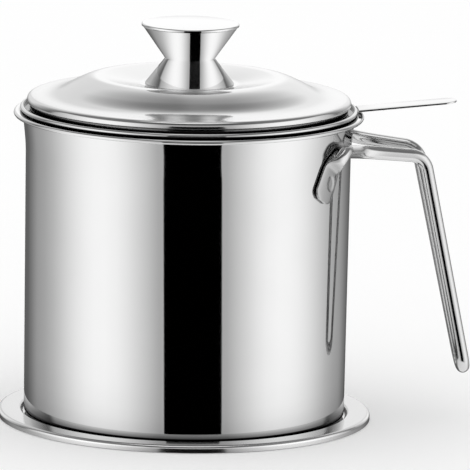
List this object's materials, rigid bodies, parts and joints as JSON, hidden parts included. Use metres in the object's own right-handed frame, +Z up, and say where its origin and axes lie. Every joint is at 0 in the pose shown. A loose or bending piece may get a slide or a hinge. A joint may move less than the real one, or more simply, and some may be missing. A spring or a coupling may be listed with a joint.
{
  "type": "bacon grease container",
  "caption": "Polished stainless steel grease pot with a lift-off domed lid, a hanging strainer insert, a bent rod handle and a saucer tray",
  "frame": {"origin": "Centre of the tray's flat underside, on the surface it stands on", "axes": "X along the pot's handle, Z up, Y across"},
  "size_m": [0.1827, 0.144, 0.1544],
  "materials": {
    "polished_steel": "mirror-polished stainless steel",
    "satin_steel": "satin stainless steel",
    "plated_steel": "zinc-plated steel"
  },
  "bodies": {
    "tray": {"tray": "polished_steel"},
    "pot": {"pot_body": "polished_steel", "pot_handle": "polished_steel"},
    "strainer": {"strainer_cup": "polished_steel", "strainer_screen": "satin_steel", "screen_ring": "satin_steel", "strainer_handle": "polished_steel"},
    "lid": {"lid_shell": "polished_steel", "knob_base": "polished_steel", "knob_head": "polished_steel", "knob_cap": "polished_steel", "knob_boss": "plated_steel", "screw_washer": "plated_steel", "knob_screw": "plated_steel"}
  },
  "joints": [
    {"name": "pot_lift", "type": "slide", "parent": "tray", "child": "pot", "axis": [0, 0, 1], "range_m": [0, 0.05]},
    {"name": "strainer_lift", "type": "slide", "parent": "pot", "child": "strainer", "axis": [0, 0, 1], "range_m": [0, 0.06]},
    {"name": "lid_lift", "type": "slide", "parent": "strainer", "child": "lid", "axis": [0, 0, 1], "range_m": [0, 0.06]}
  ]
}
